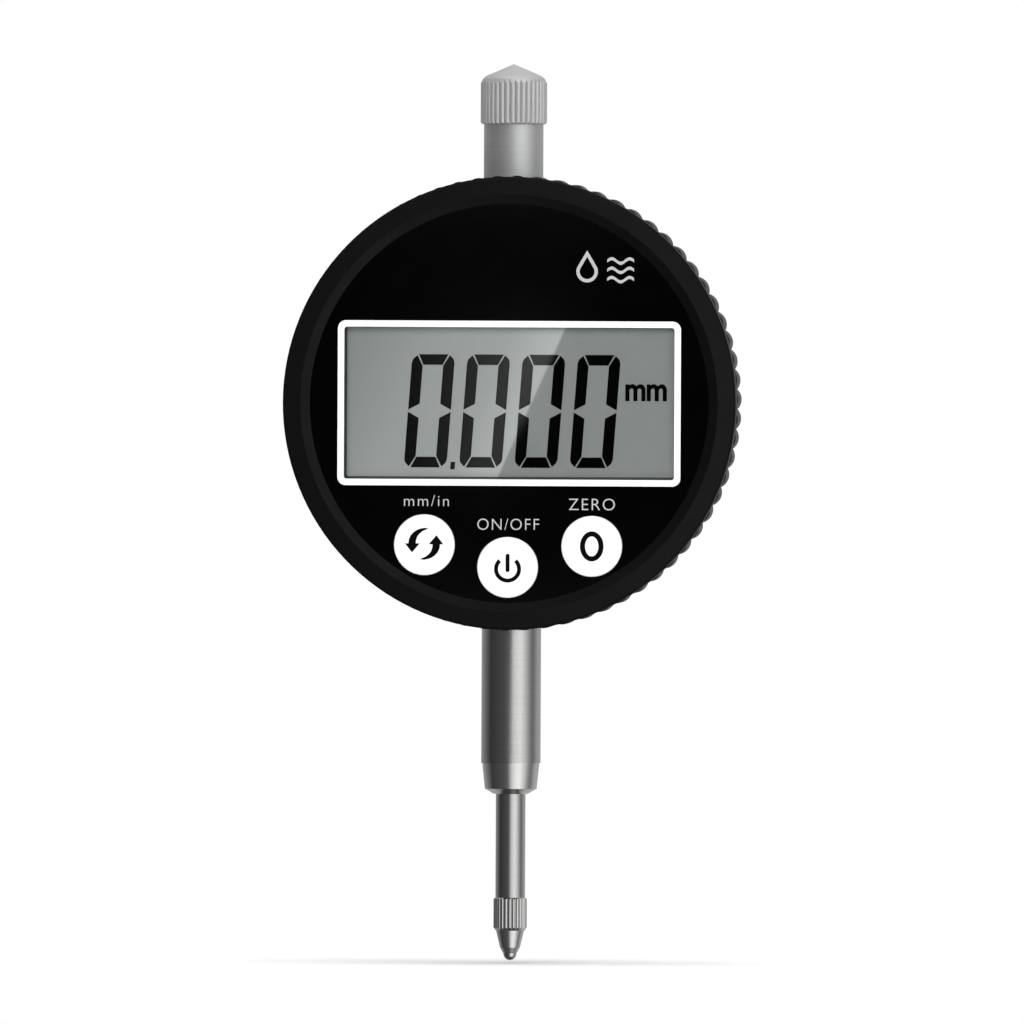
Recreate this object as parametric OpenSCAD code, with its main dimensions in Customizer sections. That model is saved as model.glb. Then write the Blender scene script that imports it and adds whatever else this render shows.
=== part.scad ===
// Digital plunger indicator: round case, turning display unit, 8 mm stem and 4 mm spindle.
// Heights along the spindle are counted from the centre of the round case.
// Depths are counted from the spindle axis, positive towards the display.

/* [Case] */
// Outer radius of the smooth front ring
ring_r = 30.44; // [30.3:0.02:30.6]
// Outer radius of the back cover
cover_r = 29.6; // [29.5:0.1:29.8]
// Depth of the ring's front edge
front_w = 12.7; // [12.6:0.1:13]
// Drop of the ring's front face from its inner to its outer edge
ring_slope = 0.5; // [0.1:0.1:0.8]
// Depth of the back cover's rear face
back_w = -10.2; // [-10.6:0.1:-10.2]
// Thickness of the housing's front wall
wall_t = 0.9; // [0.8:0.1:1]

/* [Grip] */
// Number of ridges round the housing
grip_count = 70; // [64:1:74]
// Radius to the ridge crests
grip_r = 30.6; // [30.5:0.05:30.8]
// Radius of one half-round ridge
grip_ridge_r = 1.9; // [1.7:0.1:2.2]

/* [Front] */
// Radius of the glossy panel
panel_r = 26.8; // [26.7:0.1:26.9]
// Width of the window opening
window_w = 46.1; // [45.9:0.1:46.4]
// Height of the window opening
window_h = 22.15; // [22:0.05:22.4]
// Width of the white window frame
frame_t = 0.85; // [0.6:0.05:1]
// Radius of a button face
button_r = 4.07; // [3.8:0.01:4.07]
// Distance a button can be pressed
button_travel = 0.35; // [0.2:0.05:0.4]

/* [Stem] */
// Radius of the stem and of the top sleeve
stem_r = 4; // [4:0.05:4.2]
// Length of stem between the housing and the nose
stem_len = 18.45; // [17:0.05:20]
// Length of the tapered nose
nose_len = 4.15; // [4.1:0.05:4.3]

/* [Spindle] */
// Radius of the spindle
spindle_r = 2; // [1.98:0.01:2]
// Measuring travel of the spindle
travel = 12.7; // [10:0.1:12.7]
// Length of bare spindle below the nose at rest
spindle_bare = 13.95; // [13:0.05:16]
// Radial running clearance in each bush
run_gap = 0.02; // [0.01:0.01:0.05]
// Number of turns in the return spring
spring_turns = 14; // [10:1:18]
// Number of ridges round the contact point's collar
contact_count = 24; // [24:1:26]

/* [Dust cap] */
// Radius to the crests of the cap's knurl
cap_r = 4.465; // [4.46:0.005:4.6]
// Number of ridges in the cap's knurl
cap_count = 36; // [36:1:38]
// Height from the cap's lower edge to the foot of its pointed top
cap_wall_h = 6.5; // [6.5:0.05:7]
// Height of the pointed top
cap_point_h = 1.6; // [1.2:0.1:2.2]

/* [Lug] */
// Thickness of the lug on the back cover
lug_t = 5; // [4:0.5:6]
// Outer radius of the lug
lug_r = 6; // [5.5:0.1:6.5]
// Radius of the lug's bolt hole
lug_hole_r = 3.25; // [3:0.05:3.3]

/* [Hidden] */
$fn = 96;
eps = 0.01;

// Heights along the spindle, from the case centre
seat_z = 30;
boss_z = 20;
bush_end_z = 28.4;
nose_top_z = -seat_z - stem_len;
nose_end_z = nose_top_z - nose_len;
contact_z = nose_end_z - spindle_bare;
sleeve_top_z = 37.5;
cap_top_z = sleeve_top_z + cap_wall_h;
cap_roof_z = cap_top_z - 1.1;
spindle_top_z = cap_roof_z - 0.7 - travel;
carrier_z = [-16.5, -7.5];
case_z = seat_z + stem_len / 2;

// Depths in the display unit
ring_back_w = 5.2;
panel_w = [10.75, 12.15];
board_w = [7.3, 8.1];
glass_w = [10.05, 10.65];
rear_glass_w = [9.45, 10.05];
back_plate_w = [6.35, 6.9];
cavity_r = 27.56;
ledge_r = 26.3;
ledge_w = 9.9;
bevel_r = panel_r + 1.25;
screw_post_r = 1.8;
display_screw_r = 0.7;
post_r = 1.2;
rim_chamfer = 0.15;
switch_w = [8.1, 9.2];
plunger_w = [8.75, 9.5];
flange_w = [10, 10.65];
flange_r = 4.7;
button_top_w = panel_w[1] + 0.25;
corner_r = 1.1;
window_back_w = panel_w[0] + 0.9;
glass_size = [45.6, 21.6];
strip_v = 9.9;
screw_at = [19.3, 15.1];
ribbon_turns = 2.25;
ribbon_r = [9.5, 20];
ribbon_t = 0.2;

// Case: depths and radii
housing_w = [-8, 5];
inner_r = 27.6;
inner_w = housing_w[1] - wall_t;
inserted_r = 3.7;
seat_r = 4.9;
seat_cut_r = 5;
grip_turn = 1.2;
spigot_r = 27.5;
spigot_end_w = 6.2;
wire_w = 5.6;
wire_r = 0.3;
seal_r = [28.3, 29];
gasket_r = [28, 29];
gasket_w = -8.6;
back_screw_at = 25.4;
back_screw_r = 1;
back_head_r = 1.9;
back_head_w = -9;

// Guide and measuring parts
bush_r = 2.75;
grid_w = [2.65, 3.15];
stator_w = [3.3, inner_w];
stator_screw_at = [5.5, 11];
stator_screw_r = 0.6;
pin_w = -1;
pin_r = 0.8;
pin_z = -12;
rail_u = [-10.5, -6.5];
rail_v = [-18, 6];
rail_screw_u = -12.3;
rail_screw_v = [-15, 3];
rail_screw_r = 0.7;
screw_end_w = 4.9;
spring_r = 2.65;
spring_wire_r = 0.2;
spring_z = [carrier_z[1], boss_z];

// Top sleeve, dust cap and wiper
cap_thread_r = 3.4;
cap_core_r = 4.1;
cap_ridge_r = 0.365;
oring_r = 0.3;
oring_z = sleeve_top_z + 0.7;
wiper_r = 3;
wiper_z = [nose_end_z + 1.4, nose_end_z + 2.6];

// Contact point
shank_r = 1.25;
collar_r = 2.25;
collar_h = 4.45;
collar_end_z = contact_z - collar_h;
collar_core_r = 2;
collar_ridge_r = 0.285;
ball_r = 0.9;
ball_z = collar_end_z - 3.1;

// Button centres on the panel: unit, power, zero
button_at = [[-11.3, -19.04], [-0.1, -22.03], [11.2, -19.15]];

// Button cell
cell_u = 15.5;
cell_r = 5.8;
cell_w = [-6.9, -1.5];
holder_r = 7;
holder_floor_w = -0.9;
door_r = 7.45;
door_seal_r = 0.36;
door_seal_w = -9;

// Frame of the round case: x across, y up, z towards the display
module case_frame() translate([0, 0, case_z]) rotate([90, 0, 0]) children();

// Frame of the spindle: heights counted from the case centre
module spindle_frame() translate([0, 0, case_z]) children();

module disc(r, from, to) translate([0, 0, from]) cylinder(r = r, h = to - from);

module tube(r_out, r_in, from, to) {
    difference() {
        disc(r_out, from, to);
        disc(r_in, from - 1, to + 1);
    }
}

module block(u, v, w) translate([u[0], v[0], w[0]]) cube([u[1] - u[0], v[1] - v[0], w[1] - w[0]]);

module rounded_rect(size, r) {
    square([size[0] - 2 * r, size[1]], center = true);
    square([size[0], size[1] - 2 * r], center = true);
    for (x = [-1, 1], y = [-1, 1]) {
        translate([x * (size[0] / 2 - r), y * (size[1] / 2 - r)]) circle(r = r, $fn = 48);
    }
}

module plate(size, r, from, to) {
    translate([0, 0, from]) linear_extrude(to - from) rounded_rect(size, r);
}

module bar(size, from, to) {
    translate([-size[0] / 2, -size[1] / 2, from]) cube([size[0], size[1], to - from]);
}

module ring_wire(r_major, r_minor, w) {
    translate([0, 0, w]) rotate_extrude() translate([r_major, 0]) circle(r = r_minor, $fn = 32);
}

// Outline of a shaft with straight half-round ridges, whose crests are at r
module ridges(count, r, ridge_r, core_r) {
    circle(r = core_r);
    for (i = [0 : count - 1]) {
        rotate(i * 360 / count) translate([r - ridge_r, 0]) circle(r = ridge_r, $fn = 48);
    }
}

// Places a child at each display screw
module at_display_screws() {
    for (u = [-1, 1], v = [-1, 1]) translate([u * screw_at[0], v * screw_at[1], 0]) children();
}

// Places a child at each back screw
module at_back_screws() {
    for (a = [45 : 90 : 315]) rotate(a) translate([back_screw_at, 0, 0]) children();
}

// Places a child at each button
module at_buttons() {
    for (at = button_at) translate([at[0], at[1], 0]) children();
}

// Places a child at each of the stator board's screws
module at_stator_screws() {
    for (side = [-1, 1]) translate([side * stator_screw_at[0], stator_screw_at[1], 0]) children();
}

// Places a child at each of the rail's screws
module at_rail_screws() {
    for (v = rail_screw_v) translate([rail_screw_u, v, 0]) children();
}

// ---- Display unit ----

module front_bezel() {
    chamfer = 0.3;
    edge_w = front_w - ring_slope;
    profile = [
        [ring_r - chamfer, edge_w], [ring_r, edge_w - chamfer], [ring_r, ring_back_w],
        [cavity_r, ring_back_w], [cavity_r, ledge_w], [ledge_r, ledge_w], [ledge_r, panel_w[0]],
        [panel_r, panel_w[0]], [panel_r, panel_w[1]], [bevel_r, front_w]
    ];
    color("#1c1c1e") case_frame() difference() {
        union() {
            rotate_extrude() polygon(profile);
            at_display_screws() disc(screw_post_r, board_w[1], panel_w[0]);
        }
        at_buttons() disc(flange_r + 0.2, ledge_w - 1, panel_w[0]);
        at_display_screws() disc(display_screw_r, board_w[1] - 1, 10.2);
        ring_wire(spigot_r, wire_r + 0.06, wire_w);
    }
}

module front_panel() {
    color("#050506") case_frame() difference() {
        disc(panel_r, panel_w[0], panel_w[1]);
        plate([window_w, window_h], corner_r, panel_w[0] - 1, panel_w[1] + 1);
        at_buttons() disc(button_r + 0.08, panel_w[0] - 1, front_w);
    }
}

module window_opening(from, to) {
    plate([window_w - 2 * frame_t, window_h - 2 * frame_t], 0.4, from, to);
}

module window_frame() {
    color("#f4f4f2") case_frame() difference() {
        plate([window_w, window_h], corner_r, window_back_w, panel_w[1]);
        window_opening(panel_w[0], front_w);
    }
}

module display_window() {
    color("#cfd6d6", 0.3) case_frame() {
        plate([window_w, window_h], corner_r, panel_w[0], window_back_w);
        window_opening(window_back_w, panel_w[1] - 0.1);
    }
}

module lcd_front_glass() {
    color("#868b89") case_frame() bar(glass_size, glass_w[0], glass_w[1]);
}

module lcd_rear_glass() {
    color("#9fa8a4") case_frame() bar([glass_size[0], 17.6], rear_glass_w[0], rear_glass_w[1]);
}

module lcd_reflector() {
    color("#c9cdc8") case_frame() bar([44.6, 17], 9.3, rear_glass_w[0]);
}

module lcd_holder() {
    color("#e6e6e2") case_frame() difference() {
        plate([47.2, 23.4], 1.5, board_w[1], glass_w[1] - 0.05);
        bar([glass_size[0] + 0.1, glass_size[1] + 0.1], glass_w[0], front_w);
        bar([glass_size[0] + 0.1, 17.7], 9.3, front_w);
        for (v = [-strip_v, strip_v]) translate([0, v, 0]) bar([40.2, 1.6], board_w[1] - 1, front_w);
        bar([38, 13], board_w[1] - 1, front_w);
    }
}

module zebra_strips() {
    color("#3a3f46") case_frame() {
        for (v = [-strip_v, strip_v]) translate([0, v, 0]) bar([40, 1.5], board_w[1], glass_w[0]);
    }
}

module main_board() {
    color("#14532d") case_frame() difference() {
        disc(27.3, board_w[0], board_w[1]);
        at_display_screws() disc(0.8, board_w[0] - 1, board_w[1] + 1);
    }
}

module controller_chip() {
    color("#202022") case_frame() translate([-6, 18, 0]) bar([7, 7], board_w[1], board_w[1] + 1);
}

module quartz_crystal() {
    color("#c8c8cc") case_frame() translate([1.5, 16.5, board_w[1] + 1]) rotate([0, 90, 0]) {
        cylinder(r = 1, h = 6);
    }
}

module chip_parts() {
    color("#8a6f4a") case_frame() {
        for (i = [0 : 5]) translate([-14 + 0.9 * (i % 2), 14.5 + 1.6 * i, 0]) {
            bar([1.6, 0.8], board_w[1], board_w[1] + 0.5);
        }
        for (i = [0 : 3]) translate([2.5 + 2.6 * i, 20.5, 0]) bar([0.8, 1.6], board_w[1], board_w[1] + 0.6);
    }
}

module tact_switches() {
    color("#b9bcc0") case_frame() at_buttons() difference() {
        bar([5.2, 5.2], switch_w[0], switch_w[1]);
        disc(1.25, plunger_w[0] - button_travel - 0.1, front_w);
    }
}

module display_back() {
    color("#2a2a2c") case_frame() difference() {
        union() {
            disc(27.4, back_plate_w[0], back_plate_w[1]);
            at_display_screws() disc(screw_post_r, back_plate_w[1] - eps, board_w[0]);
        }
        at_display_screws() {
            disc(0.75, back_plate_w[0] - 1, front_w);
            translate([0, 0, back_plate_w[0] - eps]) cylinder(r1 = 1.45, r2 = 0.75, h = 0.6);
        }
        block([-3, 3], [20.5, 21.7], [back_plate_w[0] - 1, front_w]);
    }
}

module display_screws() {
    color("#c4c6c9") case_frame() at_display_screws() {
        translate([0, 0, back_plate_w[0]]) cylinder(r1 = 1.4, r2 = display_screw_r, h = 0.55);
        disc(display_screw_r, back_plate_w[0] + 0.5, 10.1);
    }
}

// Flat ribbon wound loosely, so that the display unit can turn without pulling on it
function ribbon_point(a, side) =
    (ribbon_r[0] + (ribbon_r[1] - ribbon_r[0]) * a / (360 * ribbon_turns) + side) * [cos(a), sin(a)];

module flex_ribbon() {
    angles = [0 : 10 : 360 * ribbon_turns];
    inner = [for (a = angles) ribbon_point(a, -ribbon_t / 2)];
    outer = [for (a = angles) ribbon_point(a, ribbon_t / 2)];
    flip = [for (i = [len(outer) - 1 : -1 : 0]) outer[i]];
    color("#b5762a") case_frame() translate([0, 0, 5.15]) linear_extrude(1) polygon(concat(inner, flip));
}

// ---- Buttons ----

module button(at) {
    profile = [
        [0, plunger_w[1]], [post_r, plunger_w[1]], [post_r, flange_w[0]], [flange_r, flange_w[0]],
        [flange_r, flange_w[1]], [button_r, flange_w[1]], [button_r, button_top_w - rim_chamfer],
        [button_r - rim_chamfer, button_top_w], [0, button_top_w]
    ];
    color("#f7f7f5") case_frame() translate([at[0], at[1], 0]) rotate_extrude() polygon(profile);
}

module unit_button() button(button_at[0]);
module power_button() button(button_at[1]);
module zero_button() button(button_at[2]);

module plunger(at) {
    color("#b3402f") case_frame() translate([at[0], at[1], 0]) disc(post_r, plunger_w[0], plunger_w[1]);
}

module unit_plunger() plunger(button_at[0]);
module power_plunger() plunger(button_at[1]);
module zero_plunger() plunger(button_at[2]);

// ---- Case ----

// Ridged shell with posts for the stem and the top sleeve, and bosses for the back screws
module housing_solid() {
    difference() {
        translate([0, 0, housing_w[0]]) linear_extrude(housing_w[1] - housing_w[0]) {
            rotate(grip_turn) ridges(grip_count, grip_r, grip_ridge_r, cover_r);
        }
        disc(inner_r, housing_w[0] - 1, inner_w);
    }
    tube(spigot_r, 25.5, housing_w[1] - eps, spigot_end_w);
    for (side = [0, 180]) rotate(side) block([-6.5, 6.5], [boss_z, bush_end_z], [-5.5, housing_w[1]]);
    at_back_screws() disc(2.4, housing_w[0] + 0.1, housing_w[1] - 0.2);
}

module housing() {
    color("#161618") difference() {
        union() {
            case_frame() housing_solid();
            spindle_frame() {
                disc(seat_r, -seat_z - 0.3, 2 - seat_z);
                disc(seat_r, seat_z - 2, seat_z + 0.3);
            }
        }
        spindle_frame() {
            disc(inserted_r, -seat_z - 1, -boss_z + 1);
            disc(inserted_r, boss_z - 1, seat_z + 1);
            disc(seat_cut_r, -seat_z - 1, -seat_z);
            disc(seat_cut_r, seat_z, seat_z + 1);
        }
        case_frame() {
            ring_wire(spigot_r, wire_r, wire_w);
            tube(seal_r[1], seal_r[0], 4.4, 6);
            at_back_screws() disc(back_screw_r, housing_w[0] - 1, -2);
            at_stator_screws() disc(stator_screw_r, inner_w - 1, screw_end_w);
            at_rail_screws() disc(rail_screw_r, inner_w - 1, screw_end_w);
            block([-3, 3], [14, 15.2], [inner_w - 1, 7]);
        }
    }
}

module retaining_wire() {
    color("#c9cacc") case_frame() ring_wire(spigot_r, wire_r, wire_w);
}

module bezel_seal() {
    color("#2c2c2e") case_frame() tube(seal_r[1], seal_r[0], 4.4, housing_w[1] + 0.1);
}

module stator_board() {
    color("#1d6b3f") case_frame() difference() {
        block([-7.5, 7.5], [-boss_z + 0.2, 12.5], stator_w);
        at_stator_screws() disc(stator_screw_r, stator_w[0] - 1, 6);
    }
}

module stator_screws() {
    color("#c4c6c9") case_frame() at_stator_screws() {
        disc(1.1, stator_w[0] - 0.6, stator_w[0]);
        disc(stator_screw_r, stator_w[0], screw_end_w);
    }
}

module guide_rail() {
    slot_w = [pin_w - pin_r - 0.02, pin_w + pin_r + 0.02];
    color("#b9bbbe") case_frame() difference() {
        union() {
            block(rail_u, rail_v, [-3.2, 1.2]);
            block([rail_u[0], -8], rail_v, [1.2 - eps, inner_w]);
            block([-14, rail_u[0] + eps], rail_v, [2.6, inner_w]);
        }
        block([rail_u[0] + 0.7, 0], [rail_v[0] - 1, rail_v[1] + 1], slot_w);
        at_rail_screws() disc(rail_screw_r, 2, 6);
    }
}

module rail_screws() {
    color("#c4c6c9") case_frame() at_rail_screws() {
        disc(1.2, 1.8, 2.6);
        disc(rail_screw_r, 2.6, screw_end_w);
    }
}

// ---- Stem and top sleeve ----

module stem_tube() {
    color("#a9abae") spindle_frame() difference() {
        union() {
            disc(stem_r, nose_top_z, -seat_z);
            disc(inserted_r, -seat_z - eps, -boss_z);
        }
        disc(bush_r, nose_top_z - 1, -boss_z + 1);
    }
}

module stem_nose() {
    profile = [
        [2.1, nose_end_z], [2.3, nose_end_z], [3.5, nose_end_z + 0.7], [3.85, nose_top_z],
        [bush_r, nose_top_z], [bush_r, nose_top_z + 1.95], [2.1, nose_top_z + 1.95]
    ];
    color("#c3c5c8") spindle_frame() difference() {
        rotate_extrude() polygon(profile);
        tube(wiper_r, 1, wiper_z[0], wiper_z[1]);
    }
}

module wiper_seal() {
    color("#202022") spindle_frame() tube(wiper_r, spindle_r + 0.03, wiper_z[0], wiper_z[1]);
}

module bush(from, to) {
    color("#b48a3c") spindle_frame() tube(bush_r, spindle_r + run_gap, from, to);
}

module lower_bush() bush(nose_top_z + 1.95, nose_top_z + 9.95);
module inner_bush() bush(-28, -boss_z);
module upper_bush() bush(boss_z, 28.5);

module top_sleeve() {
    color("#b7b9bb") spindle_frame() difference() {
        union() {
            disc(inserted_r, boss_z, seat_z + eps);
            disc(stem_r, seat_z, sleeve_top_z);
            disc(cap_thread_r, sleeve_top_z - eps, sleeve_top_z + 3.1);
        }
        disc(bush_r, boss_z - 1, sleeve_top_z + 4);
        ring_wire(cap_thread_r - 0.1, oring_r, oring_z);
    }
}

module cap_oring() {
    color("#202022") spindle_frame() ring_wire(cap_thread_r - 0.1, oring_r, oring_z);
}

module stop_washer() {
    color("#2b2b2b") spindle_frame() tube(3.2, spindle_r + 0.2, -boss_z, carrier_z[0] - 0.02);
}

// Round wire wound round the spindle, with sides points on each section
function spring_centre(t) = [
    spring_r * cos(360 * spring_turns * t), spring_r * sin(360 * spring_turns * t),
    spring_z[0] + spring_wire_r + 0.01 + (spring_z[1] - spring_z[0] - 2 * spring_wire_r - 0.02) * t
];
function spring_point(t, a) = spring_centre(t) + spring_wire_r * [
    cos(a) * cos(360 * spring_turns * t), cos(a) * sin(360 * spring_turns * t), sin(a)
];

module return_spring() {
    sides = 6;
    rings = spring_turns * 16;
    points = [for (i = [0 : rings], j = [0 : sides - 1]) spring_point(i / rings, 360 * j / sides)];
    skin = [for (i = [0 : rings - 1], j = [0 : sides - 1]) [
        i * sides + j, i * sides + (j + 1) % sides, (i + 1) * sides + (j + 1) % sides, (i + 1) * sides + j
    ]];
    start = [for (j = [sides - 1 : -1 : 0]) j];
    finish = [for (j = [0 : sides - 1]) rings * sides + j];
    color("#c9cbcd") spindle_frame() polyhedron(points, concat([start], skin, [finish]), convexity = 4);
}

// ---- Back ----

module lug_solid() {
    lug_v = -back_w + lug_r + 0.8;
    rotate([0, 90, 0]) translate([0, 0, -lug_t / 2]) linear_extrude(lug_t) difference() {
        union() {
            translate([lug_v, 0]) circle(r = lug_r);
            translate([-back_w - 0.5, -lug_r]) square([lug_v + back_w + 0.5, 2 * lug_r]);
        }
        translate([lug_v, 0]) circle(r = lug_hole_r);
    }
}

module back_cover() {
    chamfer = 0.5;
    profile = [
        [0, back_w], [cover_r - chamfer, back_w], [cover_r, back_w + chamfer],
        [cover_r, housing_w[0]], [0, housing_w[0]]
    ];
    color("#161618") case_frame() difference() {
        union() {
            rotate_extrude() polygon(profile);
            lug_solid();
        }
        tube(gasket_r[1], gasket_r[0], gasket_w, -7);
        translate([cell_u, 0, 0]) disc(door_r + 0.05, back_w - 1, -7);
        at_back_screws() {
            disc(back_screw_r + 0.1, back_w - 1, -7);
            disc(back_head_r + 0.1, back_w - 1, back_head_w);
        }
    }
}

module back_gasket() {
    color("#2c2c2e") case_frame() tube(gasket_r[1], gasket_r[0], gasket_w, housing_w[0]);
}

module back_screws() {
    color("#3c3c3f") case_frame() at_back_screws() difference() {
        union() {
            disc(back_head_r, back_w, back_head_w);
            disc(back_screw_r, back_head_w - eps, -4);
        }
        for (a = [0, 90]) rotate(a) bar([2.4, 0.5], back_w - 1, back_w + 0.6);
    }
}

module battery() {
    color("#d5d7d9") case_frame() translate([cell_u, 0, 0]) {
        disc(cell_r, cell_w[0], cell_w[1] - 0.4);
        disc(cell_r - 0.9, cell_w[1] - 0.4 - eps, cell_w[1]);
    }
}

module battery_holder() {
    color("#34363a") case_frame() difference() {
        translate([cell_u, 0, 0]) {
            tube(holder_r, cell_r + 0.1, -7, holder_floor_w);
            disc(holder_r, holder_floor_w - eps, 0);
            disc(3, -eps, inner_w);
        }
        block([cell_u + cell_r, cell_u + 6.8], [-1.5, 1.5], [-8, cell_w[1]]);
    }
}

module battery_contact() {
    color("#c08a3a") case_frame() translate([cell_u, 0, 0]) disc(4.5, cell_w[1], holder_floor_w - eps);
}

module battery_clip() {
    color("#c08a3a") case_frame() block([cell_u + cell_r, cell_u + 6.7], [-1.4, 1.4], [-7, cell_w[1] - 0.1]);
}

module battery_door() {
    color("#1e1e20") case_frame() translate([cell_u, 0, 0]) difference() {
        union() {
            disc(door_r, back_w, -7.05);
            disc(door_r + 0.75, back_w - 0.6, back_w - 0.02);
            disc(door_r - 1, back_w - 0.1, door_seal_w);
        }
        ring_wire(door_r - 0.35, door_seal_r, door_seal_w);
        bar([10, 1.6], back_w - 1, back_w + 0.6);
    }
}

module door_oring() {
    color("#202022") case_frame() translate([cell_u, 0, 0]) {
        ring_wire(door_r - 0.35, door_seal_r, door_seal_w);
    }
}

// ---- Spindle group ----

module spindle() {
    color("#b0b2b5") spindle_frame() difference() {
        union() {
            disc(spindle_r, contact_z, spindle_top_z - 0.3);
            translate([0, 0, spindle_top_z - 0.3]) cylinder(r1 = spindle_r, r2 = spindle_r - 0.3, h = 0.3);
        }
        disc(shank_r, contact_z - 1, contact_z + 6);
    }
}

module contact_point() {
    collar = [
        [0, contact_z], [collar_r - 0.2, contact_z], [collar_r + 0.05, contact_z - 0.25],
        [collar_r + 0.05, collar_end_z + 0.5], [collar_r - 0.3, collar_end_z], [0, collar_end_z]
    ];
    nose = [
        [0, collar_end_z + 0.2], [1.9, collar_end_z + 0.2], [1.9, collar_end_z],
        [1.35, collar_end_z - 2.3], [1.05, collar_end_z - 2.85],
        [ball_r + 0.06, ball_z + 0.1], [0, ball_z + 0.1]
    ];
    color("#b4b6b8") spindle_frame() difference() {
        union() {
            disc(shank_r, contact_z - eps, contact_z + 5.5);
            intersection() {
                rotate_extrude() polygon(collar);
                translate([0, 0, collar_end_z - 1]) linear_extrude(collar_h + 2) {
                    ridges(contact_count, collar_r, collar_ridge_r, collar_core_r);
                }
            }
            rotate_extrude() polygon(nose);
        }
        translate([0, 0, ball_z]) sphere(r = ball_r);
    }
}

module contact_ball() {
    color("#8f9194") spindle_frame() translate([0, 0, ball_z]) sphere(r = ball_r);
}

module scale_carrier() {
    color("#8e9296") case_frame() difference() {
        block([-5.5, 5.5], carrier_z, [-4, grid_w[0]]);
        translate([0, carrier_z[0] - 1, 0]) rotate([-90, 0, 0]) cylinder(r = spindle_r, h = 12);
        translate([0, pin_z, 0]) disc(1, -5, -2);
        translate([-6, pin_z, pin_w]) rotate([0, 90, 0]) cylinder(r = pin_r, h = 3);
    }
}

module carrier_screw() {
    color("#3a3a3c") case_frame() translate([0, pin_z, 0]) disc(1, -4, -spindle_r - 0.01);
}

module moving_grid() {
    color("#7a5c1e") case_frame() block([-6, 6], [carrier_z[0] + 0.1, carrier_z[1] - 0.1], grid_w);
}

module guide_pin() {
    color("#c9cbcd") case_frame() translate([-9.5, pin_z, pin_w]) rotate([0, 90, 0]) {
        cylinder(r = pin_r, h = 6.5);
    }
}

// ---- Dust cap ----

module dust_cap() {
    wall_r = cap_r + 0.03;
    envelope = [
        [0, sleeve_top_z], [cap_r - 0.25, sleeve_top_z], [wall_r, sleeve_top_z + 0.3],
        [wall_r, cap_top_z - 1.05], [4.15, cap_top_z - 0.35], [3.75, cap_top_z],
        [0, cap_top_z + cap_point_h]
    ];
    color("#b7b9bb") spindle_frame() difference() {
        intersection() {
            rotate_extrude() polygon(envelope);
            translate([0, 0, sleeve_top_z - 1]) linear_extrude(cap_wall_h + 4) {
                ridges(cap_count, cap_r, cap_ridge_r, cap_core_r);
            }
        }
        disc(cap_thread_r + 0.22, sleeve_top_z - 1, sleeve_top_z + 1.1);
        disc(cap_thread_r + 0.03, sleeve_top_z - 1, sleeve_top_z + 3.3);
        disc(2.6, sleeve_top_z, cap_roof_z);
    }
}

front_bezel();
front_panel();
window_frame();
display_window();
lcd_front_glass();
lcd_rear_glass();
lcd_reflector();
lcd_holder();
zebra_strips();
main_board();
controller_chip();
quartz_crystal();
chip_parts();
tact_switches();
display_back();
display_screws();
flex_ribbon();
unit_button();
power_button();
zero_button();
unit_plunger();
power_plunger();
zero_plunger();
housing();
retaining_wire();
bezel_seal();
stator_board();
stator_screws();
guide_rail();
rail_screws();
stem_tube();
stem_nose();
wiper_seal();
lower_bush();
inner_bush();
upper_bush();
top_sleeve();
cap_oring();
stop_washer();
return_spring();
back_cover();
back_gasket();
back_screws();
battery();
battery_holder();
battery_contact();
battery_clip();
battery_door();
door_oring();
spindle();
contact_point();
contact_ball();
scale_carrier();
carrier_screw();
moving_grid();
guide_pin();
dust_cap();
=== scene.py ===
"""Looks of the digital plunger indicator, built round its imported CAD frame."""
import math

import bpy
from mathutils import Matrix, Vector


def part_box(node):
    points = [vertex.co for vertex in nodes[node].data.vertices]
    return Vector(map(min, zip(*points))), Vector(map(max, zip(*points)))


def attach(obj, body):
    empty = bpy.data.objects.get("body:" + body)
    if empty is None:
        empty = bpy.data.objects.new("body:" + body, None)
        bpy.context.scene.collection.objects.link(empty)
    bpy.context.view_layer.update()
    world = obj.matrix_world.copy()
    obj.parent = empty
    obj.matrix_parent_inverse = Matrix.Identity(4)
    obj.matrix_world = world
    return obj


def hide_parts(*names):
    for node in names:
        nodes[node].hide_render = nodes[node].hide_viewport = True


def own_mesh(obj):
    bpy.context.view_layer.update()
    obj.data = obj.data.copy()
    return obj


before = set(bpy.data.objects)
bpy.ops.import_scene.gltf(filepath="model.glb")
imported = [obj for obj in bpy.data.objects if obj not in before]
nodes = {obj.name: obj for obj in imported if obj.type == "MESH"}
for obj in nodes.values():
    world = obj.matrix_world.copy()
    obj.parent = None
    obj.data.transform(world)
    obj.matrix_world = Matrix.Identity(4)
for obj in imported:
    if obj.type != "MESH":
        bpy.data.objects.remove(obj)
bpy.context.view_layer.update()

MM = 0.001


# ---- Places, all read from the frame ----

def middle(node):
    low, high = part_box(node)
    return (low + high) / 2


CASE = middle("housing")
PANEL_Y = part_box("front_panel")[0].y
LCD_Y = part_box("lcd_front_glass")[0].y
BUTTON_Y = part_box("unit_button")[0].y
WINDOW_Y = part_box("display_window")[0].y
TIP_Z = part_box("contact_ball")[0].z

# Thickness of a printed mark
PRINT_T = 0.02 * MM

# Height of a capital in the built-in font, as a share of its size
CAPITAL_SHARE = 0.72

# The slanting reflection on the window, in mm from the case centre: its edge's top and foot, and its left
# end. A lit card mirrored by the window gives part of it, and the rest is painted reflection in the display's
# colour.
GLARE_TOP = (7.5, 10.2)
GLARE_FOOT = (-1.75, -10.4)
GLARE_LEFT = -22.4
GLARE_LEAN = (GLARE_TOP[0] - GLARE_FOOT[0]) / (GLARE_TOP[1] - GLARE_FOOT[1])


# ---- Shader helpers ----

def new_material(name):
    """A fresh material with its node tree and its Principled shader."""
    mat = bpy.data.materials.new(name)
    mat.use_nodes = True
    tree = mat.node_tree
    return mat, tree, tree.nodes["Principled BSDF"]


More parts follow.
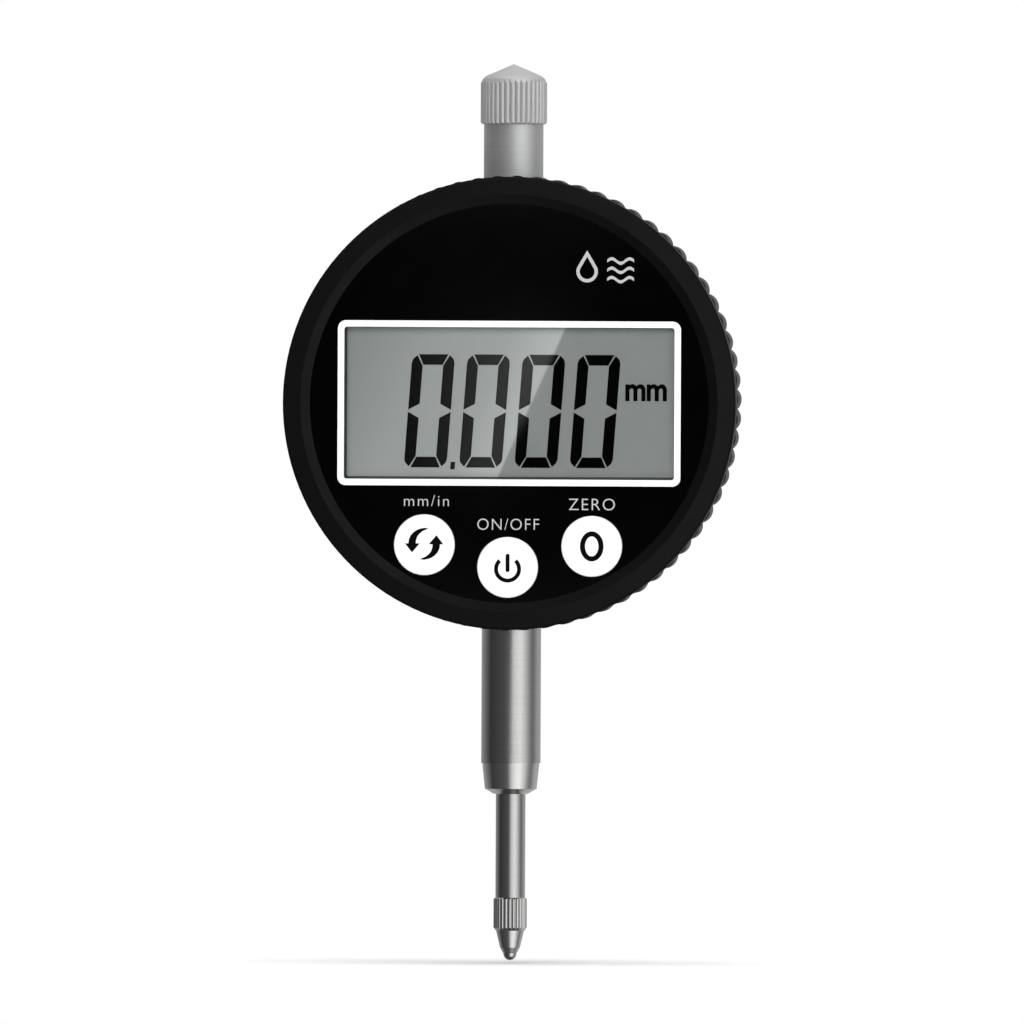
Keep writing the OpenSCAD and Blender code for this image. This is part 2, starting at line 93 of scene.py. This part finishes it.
def coords(tree, scale=(1, 1, 1)):
    """Object coordinates in metres, stretched by scale."""
    source = tree.nodes.new("ShaderNodeTexCoord")
    mapping = tree.nodes.new("ShaderNodeMapping")
    mapping.inputs["Scale"].default_value = scale
    tree.links.new(source.outputs["Object"], mapping.inputs["Vector"])
    return mapping.outputs["Vector"]


def noise(tree, vector, scale, detail=3.0):
    tex = tree.nodes.new("ShaderNodeTexNoise")
    tex.inputs["Scale"].default_value = scale
    tex.inputs["Detail"].default_value = detail
    tree.links.new(vector, tex.inputs["Vector"])
    return tex.outputs["Fac"]


def remap(tree, value, low, high, from_low=0.3, from_high=0.7):
    node = tree.nodes.new("ShaderNodeMapRange")
    node.inputs["From Min"].default_value = from_low
    node.inputs["From Max"].default_value = from_high
    node.inputs["To Min"].default_value = low
    node.inputs["To Max"].default_value = high
    tree.links.new(value, node.inputs["Value"])
    return node.outputs["Result"]


def blend_colour(tree, factor, a, b):
    node = tree.nodes.new("ShaderNodeMix")
    node.data_type = "RGBA"
    node.inputs["A"].default_value = (*a, 1)
    node.inputs["B"].default_value = (*b, 1)
    tree.links.new(factor, node.inputs["Factor"])
    return node.outputs["Result"]


def grey_ramp(tree, factor, stops):
    """A ramp of greys through (place, level) stops."""
    node = tree.nodes.new("ShaderNodeValToRGB")
    elements = node.color_ramp.elements
    elements.remove(elements[1])
    for index, (place, level) in enumerate(stops):
        element = elements[0] if index == 0 else elements.new(place)
        element.position = place
        element.color = (level, level, level, 1)
    tree.links.new(factor, node.inputs["Fac"])
    return node.outputs["Color"]


def calculate(tree, operation, first, second, third=None):
    """A math node. Each of first, second and third is a socket or a number."""
    node = tree.nodes.new("ShaderNodeMath")
    node.operation = operation
    for socket, value in zip(node.inputs, (first, second, third)):
        if isinstance(value, bpy.types.NodeSocket):
            tree.links.new(value, socket)
        elif value is not None:
            socket.default_value = value
    return node.outputs["Value"]


def split_up(tree, vector):
    node = tree.nodes.new("ShaderNodeSeparateXYZ")
    tree.links.new(vector, node.inputs["Vector"])
    return node.outputs


def bump(tree, shader, height, depth):
    node = tree.nodes.new("ShaderNodeBump")
    node.inputs["Distance"].default_value = depth
    tree.links.new(height, node.inputs["Height"])
    tree.links.new(node.outputs["Normal"], shader.inputs["Normal"])


def shade(colour, factor):
    return tuple(min(1.0, c * factor) for c in colour)


def plastic(name, colour, roughness, grain=4000, depth=0.01 * MM, mottle=0.15, specular=0.5):
    """Moulded plastic: an uneven tint, a fine grain and a roughness that drifts."""
    mat, tree, shader = new_material(name)
    where = coords(tree)
    tint = noise(tree, where, 180)
    colour_out = blend_colour(tree, tint, shade(colour, 1 - mottle), shade(colour, 1 + mottle))
    tree.links.new(colour_out, shader.inputs["Base Color"])
    drift = remap(tree, noise(tree, where, 260), roughness * 0.9, roughness * 1.1)
    tree.links.new(drift, shader.inputs["Roughness"])
    shader.inputs["Specular IOR Level"].default_value = specular
    bump(tree, shader, noise(tree, where, grain, 2), depth)
    return mat


def metal(name, colour, roughness, rings=(60, 60, 9000), depth=0.002 * MM, uneven=0.12, metallic=1.0):
    """Machined metal: fine marks stretched along the tool's path, with a drifting polish."""
    mat, tree, shader = new_material(name)
    marks = noise(tree, coords(tree, rings), 1, 4)
    patches = noise(tree, coords(tree), 220, 3)
    colour_out = blend_colour(tree, marks, shade(colour, 1 - uneven), shade(colour, 1 + uneven))
    tree.links.new(colour_out, shader.inputs["Base Color"])
    shader.inputs["Metallic"].default_value = metallic
    drift = remap(tree, patches, roughness * 0.85, roughness * 1.2)
    tree.links.new(drift, shader.inputs["Roughness"])
    bump(tree, shader, marks, depth)
    return mat


def rubber(name, colour):
    return plastic(name, colour, 0.8, grain=2500, depth=0.02 * MM, mottle=0.2, specular=0.3)


def painted_slanting_glare(tree, where):
    """Painted reflection: the left part of the display's colour made paler up to a slanting edge, fading to
    the left.
    """
    place = split_up(tree, where)
    across = calculate(tree, "MULTIPLY_ADD", place["Z"], -GLARE_LEAN, place["X"])
    edge = GLARE_TOP[0] * MM - GLARE_LEAN * (CASE.z + GLARE_TOP[1] * MM)
    reach = 31 * MM
    past_edge = 1 * MM
    along = remap(tree, across, 0, 1, edge + past_edge - reach, edge + past_edge)
    return grey_ramp(tree, along, [
        (0, 1.0), (0.12, 1.02), (0.3, 1.16), (0.42, 1.28), (0.75, 1.34), (0.85, 1.52), (0.963, 1.7),
        (0.972, 1.0), (1, 1.0)
    ])


def lcd_glass():
    """Reflective liquid-crystal glass: grey-green, with a soft sheen and a faint grain, and a painted
    reflection that makes its left part paler.
    """
    mat, tree, shader = new_material("lcd_glass")
    where = coords(tree)
    cloud = noise(tree, where, 60, 2)
    plain = blend_colour(tree, cloud, (0.325, 0.34, 0.343), (0.35, 0.364, 0.368))
    # painted reflection: the plain colour is multiplied by the paler slanting glare
    lit = tree.nodes.new("ShaderNodeMix")
    lit.data_type = "RGBA"
    lit.blend_type = "MULTIPLY"
    lit.inputs["Factor"].default_value = 1
    tree.links.new(plain, lit.inputs["A"])
    tree.links.new(painted_slanting_glare(tree, where), lit.inputs["B"])
    tree.links.new(lit.outputs["Result"], shader.inputs["Base Color"])
    drift = remap(tree, noise(tree, where, 900), 0.42, 0.5)
    tree.links.new(drift, shader.inputs["Roughness"])
    shader.inputs["Specular IOR Level"].default_value = 0.3
    bump(tree, shader, noise(tree, where, 7000, 1), 0.001 * MM)
    return mat


def clear_glass():
    """Clear window: see-through, with the faint reflection of polished acrylic."""
    mat, tree, shader = new_material("clear_window")
    tree.nodes.remove(shader)
    clear = tree.nodes.new("ShaderNodeBsdfTransparent")
    clear.inputs["Color"].default_value = (0.98, 0.985, 0.98, 1)
    gloss = tree.nodes.new("ShaderNodeBsdfGlossy")
    smears = remap(tree, noise(tree, coords(tree), 90), 0.012, 0.03)
    tree.links.new(smears, gloss.inputs["Roughness"])
    fresnel = tree.nodes.new("ShaderNodeFresnel")
    fresnel.inputs["IOR"].default_value = 1.49
    mixed = tree.nodes.new("ShaderNodeMixShader")
    tree.links.new(fresnel.outputs["Fac"], mixed.inputs["Fac"])
    tree.links.new(clear.outputs["BSDF"], mixed.inputs[1])
    tree.links.new(gloss.outputs["BSDF"], mixed.inputs[2])
    tree.links.new(mixed.outputs["Shader"], tree.nodes["Material Output"].inputs["Surface"])
    return mat


def ink(name, colour, roughness=0.5, specular=0.3):
    """Printed ink: nearly even, with the slight mottling of a screen print."""
    return plastic(name, colour, roughness, grain=9000, depth=0.002 * MM, mottle=0.05, specular=specular)


def circuit_board():
    """Green solder mask with paler copper tracks under it."""
    mat, tree, shader = new_material("circuit_board")
    where = coords(tree)
    tracks = tree.nodes.new("ShaderNodeTexBrick")
    tracks.inputs["Scale"].default_value = 220
    tracks.inputs["Mortar Size"].default_value = 0.06
    tracks.inputs["Color1"].default_value = (0.012, 0.105, 0.04, 1)
    tracks.inputs["Color2"].default_value = (0.01, 0.09, 0.035, 1)
    tracks.inputs["Mortar"].default_value = (0.03, 0.2, 0.07, 1)
    swap = tree.nodes.new("ShaderNodeMapping")
    swap.inputs["Rotation"].default_value = (math.radians(90), 0, 0)
    tree.links.new(where, swap.inputs["Vector"])
    tree.links.new(swap.outputs["Vector"], tracks.inputs["Vector"])
    tree.links.new(tracks.outputs["Color"], shader.inputs["Base Color"])
    drift = remap(tree, noise(tree, where, 400), 0.25, 0.4)
    tree.links.new(drift, shader.inputs["Roughness"])
    bump(tree, shader, tracks.outputs["Fac"], 0.01 * MM)
    return mat


# ---- Materials of the CAD nodes ----

AROUND = (60, 60, 9000)   # marks left by turning about the spindle axis
ALONG = (6000, 6000, 40)  # marks drawn along the spindle
FACING = (5000, 60, 60)   # marks milled across the case

LOOKS = {
    "matte_black": (plastic("matte_black", (0.003, 0.003, 0.0032), 0.5, 2600, 0.012 * MM, 0.2, 0.13),
                    ["front_bezel"]),
    "gloss_black": (plastic("gloss_black", (0.0006, 0.0006, 0.0007), 0.09, 700, 0.0003 * MM, 0.2, 0.2),
                    ["front_panel"]),
    "frame_white": (plastic("frame_white", (0.9, 0.9, 0.89), 0.35, 5000, 0.003 * MM, 0.02),
                    ["window_frame"]),
    "window": (clear_glass(), ["display_window"]),
    "lcd": (lcd_glass(), ["lcd_front_glass", "lcd_rear_glass"]),
    "reflector": (metal("reflector", (0.8, 0.81, 0.8), 0.35, FACING), ["lcd_reflector"]),
    "holder": (plastic("holder_white", (0.72, 0.72, 0.69), 0.5), ["lcd_holder"]),
    "zebra": (rubber("zebra_rubber", (0.03, 0.035, 0.045)), ["zebra_strips"]),
    "board": (circuit_board(), ["main_board", "stator_board", "moving_grid"]),
    "chip": (plastic("chip_epoxy", (0.01, 0.01, 0.011), 0.55), ["controller_chip"]),
    "can": (metal("plated_can", (0.72, 0.72, 0.73), 0.25, ALONG), ["quartz_crystal", "tact_switches"]),
    "cell": (metal("cell_case", (0.75, 0.75, 0.76), 0.2, FACING), ["battery"]),
    "chip_part": (plastic("chip_ceramic", (0.26, 0.17, 0.09), 0.45), ["chip_parts"]),
    "inner_black": (plastic("inner_black", (0.02, 0.02, 0.021), 0.5), ["display_back", "battery_holder"]),
    "screw": (metal("plated_screw", (0.7, 0.7, 0.71), 0.28, FACING),
              ["display_screws", "stator_screws", "rail_screws"]),
    "ribbon": (plastic("ribbon_amber", (0.42, 0.2, 0.03), 0.3), ["flex_ribbon"]),
    "button": (plastic("button_white", (0.9, 0.9, 0.89), 0.4, 5000, 0.003 * MM, 0.015),
               ["unit_button", "power_button", "zero_button"]),
    "plunger": (plastic("plunger_red", (0.35, 0.04, 0.03), 0.45),
                ["unit_plunger", "power_plunger", "zero_plunger"]),
    "case": (plastic("case_black", (0.009, 0.009, 0.01), 0.45, 1500, 0.03 * MM, 0.2, 0.4),
             ["housing", "back_cover"]),
    "seal": (rubber("seal_rubber", (0.012, 0.012, 0.013)),
             ["bezel_seal", "wiper_seal", "cap_oring", "stop_washer", "back_gasket", "door_oring"]),
    "wire": (metal("spring_wire", (0.6, 0.6, 0.61), 0.22, ALONG), ["retaining_wire", "return_spring"]),
    "rail": (metal("milled_rail", (0.6, 0.6, 0.61), 0.3, ALONG), ["guide_rail", "guide_pin"]),
    "stem": (metal("ground_stem", (0.56, 0.56, 0.555), 0.17, AROUND), ["stem_tube"]),
    "nose": (metal("bright_nose", (0.68, 0.68, 0.67), 0.14, AROUND), ["stem_nose"]),
    "sleeve": (metal("satin_sleeve", (0.6, 0.605, 0.605), 0.42, AROUND, 0.004 * MM, 0.12, 0.76),
               ["top_sleeve"]),
    "cap": (metal("satin_cap", (0.6, 0.6, 0.6), 0.45, ALONG, 0.003 * MM, 0.1, 0.62), ["dust_cap"]),
    "bush": (metal("bush_bronze", (0.62, 0.4, 0.16), 0.3, AROUND),
             ["lower_bush", "inner_bush", "upper_bush"]),
    "contact_spring": (metal("spring_bronze", (0.66, 0.42, 0.18), 0.3, FACING),
                       ["battery_contact", "battery_clip"]),
    "back_screw": (metal("black_screw", (0.09, 0.09, 0.095), 0.32, FACING), ["back_screws", "carrier_screw"]),
    "door": (plastic("door_black", (0.012, 0.012, 0.013), 0.45, 2200, 0.015 * MM), ["battery_door"]),
    "spindle": (metal("lapped_spindle", (0.56, 0.56, 0.555), 0.13, AROUND), ["spindle"]),
    "contact": (metal("contact_steel", (0.66, 0.66, 0.655), 0.15, AROUND), ["contact_point"]),
    "ball": (metal("carbide_ball", (0.6, 0.6, 0.6), 0.1, AROUND, 0.0005 * MM), ["contact_ball"]),
    "carrier": (metal("milled_carrier", (0.5, 0.51, 0.52), 0.35, FACING), ["scale_carrier"]),
}


def dress(node, material):
    """Gives a CAD node its material in every slot."""
    slots = nodes[node].data.materials
    if not slots:
        slots.append(material)
    for index in range(len(slots)):
        slots[index] = material


for look, names in LOOKS.values():
    for node_name in names:
        dress(node_name, look)


# ---- Prints and marks: thin shapes laid on a face ----

WHITE_INK = ink("ink_white", (0.45, 0.45, 0.45))
BLACK_INK = ink("ink_black", (0.002, 0.002, 0.002), 0.5, 0.05)
# painted shade: the dark grey of the strip at the display's left and foot
RECESS_SHADE_INK = ink("painted_recess_shade", (0.09, 0.095, 0.095), 0.6, 0.1)
SEGMENT_INK = ink("lcd_segment", (0.001, 0.001, 0.0012), 0.5, 0.03)


def lay_on_face(obj, name, material, x, z, y, body):
    """Turns a flat curve or text to face the viewer, as a mesh riding on a body.

    x and z are in mm from the case centre, and y is the face's place in metres.
    """
    obj.data.dimensions = "2D"
    obj.data.fill_mode = "BOTH"
    obj.data.extrude = PRINT_T / 2 / MM
    bpy.context.scene.collection.objects.link(obj)
    bpy.context.view_layer.update()
    mesh = bpy.data.meshes.new_from_object(obj.evaluated_get(bpy.context.evaluated_depsgraph_get()))
    bpy.data.objects.remove(obj)
    place = Matrix.Translation((CASE.x + x * MM, y - PRINT_T / 2, CASE.z + z * MM))
    turn = Matrix.Rotation(math.radians(90), 4, "X")
    mesh.transform(place @ turn @ Matrix.Scale(MM, 4))
    mesh.materials.clear()
    mesh.materials.append(material)
    piece = bpy.data.objects.new(name, mesh)
    bpy.context.scene.collection.objects.link(piece)
    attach(piece, body)
    return piece


def print_shape(name, loops, material, y, body, at=(0, 0)):
    """Lays closed loops of (x, z) points in mm on a face. A loop inside another is a hole."""
    curve = bpy.data.curves.new(name, "CURVE")
    for loop in loops:
        spline = curve.splines.new("POLY")
        spline.points.add(len(loop) - 1)
        for point, (px, pz) in zip(spline.points, loop):
            point.co = (px, pz, 0, 1)
        spline.use_cyclic_u = True
    obj = bpy.data.objects.new(name + "_curve", curve)
    return lay_on_face(obj, name, material, at[0], at[1], y, body)


def print_text(name, words, height, material, x, z, y, weight=0.0, spacing=1.0, stretch=1.0):
    """Lays plain lettering on the display unit, centred on x with its foot at z.

    height is a capital's height in mm, and weight thickens the strokes by that much.
    """
    curve = bpy.data.curves.new(name, "FONT")
    curve.body = words
    curve.size = height / CAPITAL_SHARE
    curve.align_x = "CENTER"
    curve.offset = weight
    curve.space_character = spacing
    obj = bpy.data.objects.new(name + "_curve", curve)
    piece = lay_on_face(obj, name, material, x, z, y, "display_unit")
    centre = CASE.x + x * MM
    for vertex in piece.data.vertices:
        vertex.co.x = centre + (vertex.co.x - centre) * stretch
    return piece


def arc(radius, start, end, steps=24, centre=(0, 0), squash=1.0):
    """Points round an arc, with angles in degrees."""
    points = []
    for i in range(steps + 1):
        a = math.radians(start + (end - start) * i / steps)
        points.append((centre[0] + radius * math.cos(a) * squash, centre[1] + radius * math.sin(a)))
    return points


def ring_loops(radius, width, squash=1.0, inner_squash=1.0):
    return [arc(radius, 0, 354, 59, squash=squash), arc(radius - width, 0, 354, 59, squash=inner_squash)]


# Seven-segment digits: sizes in mm
DIGIT_W = 5.75
DIGIT_H = 15.2
DIGIT_PITCH = 7.43
DIGIT_LEFT = -14.2
DIGIT_FOOT = -8.65
SEGMENT_T = 1.5
BAR_T = 1.42
SEGMENT_GAP = 0.14
SLANT = math.tan(math.radians(4.2))


def zero_segments():
    """The six lit segments of a 0, as loops with the foot's left corner at the origin, before slanting."""
    w, h, t, b, g = DIGIT_W, DIGIT_H, SEGMENT_T, BAR_T, SEGMENT_GAP
    cut = 0.75
    mid = h / 2
    top = [(cut + g, h), (w - cut - g, h), (w - t - g * 0.6, h - b), (t + g * 0.6, h - b)]
    foot = [(x, h - z) for x, z in top]
    upper_left = [
        (0, mid + g), (0, h - 1.15), (0.15, h - 0.65), (cut - g * 0.4, h - 0.12),
        (t, h - b - g * 0.9), (t, mid + g + 0.82)
    ]
    upper_right = [(w - x, z) for x, z in upper_left]
    lower_left = [(x, h - z) for x, z in upper_left]
    lower_right = [(w - x, z) for x, z in lower_left]
    return [top, foot, upper_left, upper_right, lower_left, lower_right]


def make_display():
    for index in range(4):
        left = DIGIT_LEFT + index * DIGIT_PITCH
        loops = []
        for loop in zero_segments():
            loops.append([(left + x + z * SLANT, DIGIT_FOOT + z) for x, z in loop])
        print_shape(f"digit_{index + 1}", loops, SEGMENT_INK, LCD_Y, "display_unit")
    dot = [(-7.95, -8.9), (-7.35, -8.9), (-7.27, -7.9), (-7.87, -7.9)]
    print_shape("decimal_point", [dot], SEGMENT_INK, LCD_Y, "display_unit")
    print_text("unit_mark", "mm", 3.2, SEGMENT_INK, 18.35, 0.5, LCD_Y, 0.13, 0.96, 0.86)


def make_painted_recess_shade():
    """Painted shade of the recess: a dark strip on the display's glass at its left and its foot, just inside
    the window frame, between the window and the glass.
    """
    low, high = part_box("window_frame")
    frame_t = 0.9
    half_w = (high.x - low.x) / 2 / MM - frame_t
    half_h = (high.z - low.z) / 2 / MM - frame_t
    wide = 0.3
    shade_strip = [
        (-half_w, half_h), (-half_w, -half_h), (half_w, -half_h), (half_w, wide - half_h),
        (wide - half_w, wide - half_h), (wide - half_w, half_h)
    ]
    print_shape("recess_shade_strip", [shade_strip], RECESS_SHADE_INK, LCD_Y, "display_unit")


def make_labels():
    y = PANEL_Y
    print_text("unit_label", "mm/in", 1.55, WHITE_INK, -11.05, -13.85, y, -0.02, 1.2)
    print_text("power_label", "ON/OFF", 1.6, WHITE_INK, -0.06, -17.0, y, -0.02, 1.15, 0.95)
    print_text("zero_label", "ZERO", 1.65, WHITE_INK, 11.2, -14.3, y, -0.02, 1.15)


def face_place(node):
    """A node's centre as (x, z) in mm from the case centre."""
    centre = middle(node)
    return (centre.x - CASE.x) / MM, (centre.z - CASE.z) / MM


def print_icon(name, loops, button, body):
    print_shape(name, loops, BLACK_INK, BUTTON_Y, body, face_place(button))


def make_icons():
    """Plain symbols on the three buttons: swap, power and nought."""
    arrow = [
        (0.58, 2.2), (0.1, 2.27), (-0.45, 2.2), (-0.95, 2.02), (-1.45, 1.7), (-1.85, 1.25), (-2.08, 0.75),
        (-2.15, 0.18), (-2.6, 0.18), (-1.66, -1.05), (-0.62, 0.18), (-1.15, 0.18), (-1.12, 0.6),
        (-0.95, 1.1), (-0.65, 1.5), (-0.2, 1.85)
    ]
    turned = [(-0.04 - x, 0.25 - z) for x, z in arrow]
    print_icon("swap_icon", [arrow, turned], "unit_button", "unit_key")

    outer = arc(1.82, 133, 407, 48, (0, -0.22))
    inner = arc(1.28, 407, 133, 48, (0, -0.22))
    bar = arc(0.27, 0, 180, 10, (0, 1.57)) + arc(0.27, 180, 360, 10, (0, -0.36))
    print_icon("power_ring_icon", [outer + inner], "power_button", "power_key")
    print_icon("power_bar_icon", [bar], "power_button", "power_key")

    nought = ring_loops(2.02, 0.68, 0.787, 0.67)
    print_icon("nought_icon", nought, "zero_button", "zero_key")


def make_drop_mark():
    """A plain water drop beside three ripples: a generic mark for a splash-proof case."""
    drop = [(0, 2.5)] + arc(1.45, 25, -205, 30, (0, -0.35))
    hollow = [(0, 1.65)] + arc(1.0, 25, -205, 30, (0, -0.35))
    print_shape("drop_mark", [drop, hollow], WHITE_INK, PANEL_Y, "display_unit", (10.4, 18.1))
    for row in range(3):
        crest = [(x / 10, 0.3 * math.sin(x / 10 * 2.6)) for x in range(0, 37)]
        base = [(x, z - 0.42) for x, z in reversed(crest)]
        at = (13.1, 19.4 - 1.25 * row)
        print_shape(f"ripple_mark_{row + 1}", [crest + base], WHITE_INK, PANEL_Y, "display_unit", at)


make_display()
make_painted_recess_shade()
make_labels()
make_icons()
make_drop_mark()


# ---- Return spring ----

def make_return_spring():
    """Round wire wound round the spindle, at one length: it doesn't shorten as the spindle rises."""
    low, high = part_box("return_spring")
    wire = 0.2 * MM
    turns = 14
    sides = 10
    rings = turns * 36
    coil = (high.x - low.x) / 2 - wire
    length = high.z - low.z
    points = []
    for i in range(rings + 1):
        turn = 2 * math.pi * turns * i / rings
        height = low.z + wire + (length - 2 * wire) * i / rings
        for j in range(sides):
            around = 2 * math.pi * j / sides
            reach = coil + wire * math.cos(around)
            points.append((reach * math.cos(turn), reach * math.sin(turn), height + wire * math.sin(around)))
    faces = [list(range(sides))[::-1], [rings * sides + j for j in range(sides)]]
    for i in range(rings):
        for j in range(sides):
            k = (j + 1) % sides
            faces.append([i * sides + j, i * sides + k, (i + 1) * sides + k, (i + 1) * sides + j])
    mesh = bpy.data.meshes.new("return_spring_wire")
    mesh.from_pydata(points, [], faces)
    mesh.shade_smooth()
    mesh.materials.append(LOOKS["wire"][0])
    spring = bpy.data.objects.new("return_spring_wire", mesh)
    bpy.context.scene.collection.objects.link(spring)
    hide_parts("return_spring")
    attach(spring, "case")
    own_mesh(spring)


make_return_spring()


# ---- Studio ----

# The camera stands far off, a little to the right and a touch above the middle
VIEW_AZIMUTH = math.radians(2.15)
VIEW_ELEVATION = math.radians(0.4)
VIEW_ROLL = math.radians(0.27)
VIEW_DISTANCE = 6.0
FRAME_HEIGHT = 137.8 * MM
AIM_Z = CASE.z - 14.67 * MM
CAMERA_BACK = Vector((
    math.sin(VIEW_AZIMUTH) * math.cos(VIEW_ELEVATION),
    -math.cos(VIEW_AZIMUTH) * math.cos(VIEW_ELEVATION),
    math.sin(VIEW_ELEVATION)
))
CAMERA_PLACE = Vector((0, 0, AIM_Z)) + CAMERA_BACK * VIEW_DISTANCE

# The studio round the horizon, as (degrees from the camera's side, brightness), positive to the right
ROOM_LEFT = [(-180, 0.5), (-130, 0.3)]
BLACK_FLAG = [(-85, 0.05), (-25, 0.1), (-10, 0.15)]
SOFT_BOX = [(10, 0.9), (25, 1.15), (40, 1.25), (60, 0.8), (80, 0.35)]
ROOM_RIGHT = [(95, 0.2), (125, 0.5), (180, 0.5)]
HORIZON = ROOM_LEFT + BLACK_FLAG + SOFT_BOX + ROOM_RIGHT
HORIZON_PEAK = 1.25
OVERHEAD = 0.45
BELOW = 0.08

# Watts of the lamps
FRONT_POWER = 15.0
TOP_POWER = 20.0

# Place of the cards that the face mirrors, and the strength of the glare
CARD_Y = -0.5
GLARE_LEVEL = 1.1


def make_camera():
    data = bpy.data.cameras.new("camera")
    data.sensor_width = 36
    data.lens = 36 * VIEW_DISTANCE / FRAME_HEIGHT
    cam = bpy.data.objects.new("camera", data)
    cam.location = CAMERA_PLACE
    cam.rotation_mode = "QUATERNION"
    roll = Matrix.Rotation(VIEW_ROLL, 4, "Z").to_quaternion()
    cam.rotation_quaternion = (-CAMERA_BACK).to_track_quat("-Z", "Y") @ roll
    bpy.context.scene.collection.objects.link(cam)
    bpy.context.scene.camera = cam


def glow(tree, strength, colour=None):
    """A white background light, or one that takes its colour from a socket."""
    node = tree.nodes.new("ShaderNodeBackground")
    node.inputs["Color"].default_value = (1, 1, 1, 1)
    node.inputs["Strength"].default_value = strength
    if colour:
        tree.links.new(colour, node.inputs["Color"])
    return node.outputs["Background"]


def fade_between(tree, factor, first, second):
    node = tree.nodes.new("ShaderNodeMixShader")
    tree.links.new(factor, node.inputs["Fac"])
    tree.links.new(first, node.inputs[1])
    tree.links.new(second, node.inputs[2])
    return node.outputs["Shader"]


def make_world():
    """A soft studio: a bright side at the front right, a dark one at the front left, and a white backdrop."""
    world = bpy.data.worlds.new("studio")
    bpy.context.scene.world = world
    world.use_nodes = True
    tree = world.node_tree
    tree.nodes.clear()
    source = tree.nodes.new("ShaderNodeTexCoord")
    way = split_up(tree, source.outputs["Generated"])
    towards_camera = calculate(tree, "MULTIPLY", way["Y"], -1)
    around = calculate(tree, "ARCTAN2", way["X"], towards_camera)
    turn = remap(tree, around, 0, 1, -math.pi, math.pi)
    stops = [((degrees + 180) / 360, level / HORIZON_PEAK) for degrees, level in HORIZON]
    horizon = glow(tree, HORIZON_PEAK, grey_ramp(tree, turn, stops))
    rise = remap(tree, way["Z"], 0, 1, 0.7, 1.0)
    room = fade_between(tree, rise, horizon, glow(tree, OVERHEAD))
    fall = remap(tree, way["Z"], 0, 1, -0.65, -0.9)
    room = fade_between(tree, fall, room, glow(tree, BELOW))
    seen = tree.nodes.new("ShaderNodeLightPath")
    room = fade_between(tree, seen.outputs["Is Camera Ray"], room, glow(tree, 1))
    output = tree.nodes.new("ShaderNodeOutputWorld")
    tree.links.new(room, output.inputs["Surface"])


def make_lamp(name, place, target, size, power):
    """A soft square lamp that lights surfaces but isn't mirrored in the metal."""
    data = bpy.data.lights.new(name, "AREA")
    data.shape = "SQUARE"
    data.size = size
    data.energy = power
    lamp = bpy.data.objects.new(name, data)
    lamp.location = place
    lamp.rotation_mode = "QUATERNION"
    lamp.rotation_quaternion = (Vector(target) - Vector(place)).to_track_quat("-Z", "Y")
    lamp.visible_glossy = False
    bpy.context.scene.collection.objects.link(lamp)


def make_floor():
    """A round pale floor just under the contact ball."""
    radius = 0.3
    sides = 96
    angles = [2 * math.pi * side / sides for side in range(sides)]
    rim = [(radius * math.cos(angle), radius * math.sin(angle), 0) for angle in angles]
    mesh = bpy.data.meshes.new("floor")
    mesh.from_pydata(rim, [], [list(range(sides))])
    floor = bpy.data.objects.new("floor", mesh)
    floor.location.z = TIP_Z - 0.4 * MM
    bpy.context.scene.collection.objects.link(floor)
    mat, _, shader = new_material("floor_white")
    shader.inputs["Base Color"].default_value = (0.95, 0.95, 0.95, 1)
    shader.inputs["Roughness"].default_value = 0.9
    mesh.materials.append(mat)
    floor.visible_glossy = False


def mirrored(x, z, plane_y):
    """Where a line of sight that meets a plane facing the viewer at (x, z) mm reaches the cards."""
    hit = Vector((CASE.x + x * MM, plane_y, CASE.z + z * MM))
    sight = hit - CAMERA_PLACE
    step = (plane_y - CARD_Y) / sight.y
    return hit.x + sight.x * step, hit.z + sight.z * step


def make_card(name, outline, y, material):
    """A flat card that only shows in reflections. outline is a list of (x, z) in metres."""
    mesh = bpy.data.meshes.new(name)
    mesh.from_pydata([(x, y, z) for x, z in outline], [], [list(range(len(outline)))])
    mesh.materials.append(material)
    card = bpy.data.objects.new(name, mesh)
    card.visible_camera = False
    card.visible_diffuse = False
    card.visible_shadow = False
    card.visible_transmission = False
    bpy.context.scene.collection.objects.link(card)


def card_material(name):
    mat, tree, shader = new_material(name)
    shader.inputs["Base Color"].default_value = (0, 0, 0, 1)
    shader.inputs["Specular IOR Level"].default_value = 0
    return mat, tree, shader


def glare_material(left, right):
    """Light that fades from right to left between two x places in metres."""
    mat, tree, shader = card_material("card_glare")
    source = tree.nodes.new("ShaderNodeTexCoord")
    place = split_up(tree, source.outputs["Object"])
    fade = remap(tree, place["X"], 0, 1, left, right)
    curve = calculate(tree, "POWER", fade, 2.2)
    level = calculate(tree, "MULTIPLY", curve, GLARE_LEVEL)
    shader.inputs["Emission Color"].default_value = (1, 1, 1, 1)
    tree.links.new(level, shader.inputs["Emission Strength"])
    return mat


def make_cards():
    """A dark card mirrored by the front of the case, and a slanting light mirrored by the window."""
    reach_x = 60
    reach_z = 29
    corners = [(-reach_x, -reach_z), (reach_x, -reach_z), (reach_x, reach_z), (-reach_x, reach_z)]
    dark = [mirrored(x, z, PANEL_Y) for x, z in corners]
    make_card("dark_card", dark, CARD_Y, card_material("card_black")[0])
    corners = [(GLARE_LEFT, GLARE_FOOT[1]), GLARE_FOOT, GLARE_TOP, (GLARE_LEFT, GLARE_TOP[1])]
    light = [mirrored(x, z, WINDOW_Y) for x, z in corners]
    left = light[0][0]
    right = light[2][0]
    make_card("glare_card", light, CARD_Y + MM, glare_material(left, right))


make_camera()
make_world()
make_floor()
make_lamp("front_lamp", (-0.4, -1.5, 0.5), (0, 0, 0.03), 1.0, FRONT_POWER)
make_lamp("top_lamp", (0, -0.1, 1.5), (0, 0, 0), 1.2, TOP_POWER)
make_cards()
bpy.context.scene.view_settings.view_transform = "Standard"
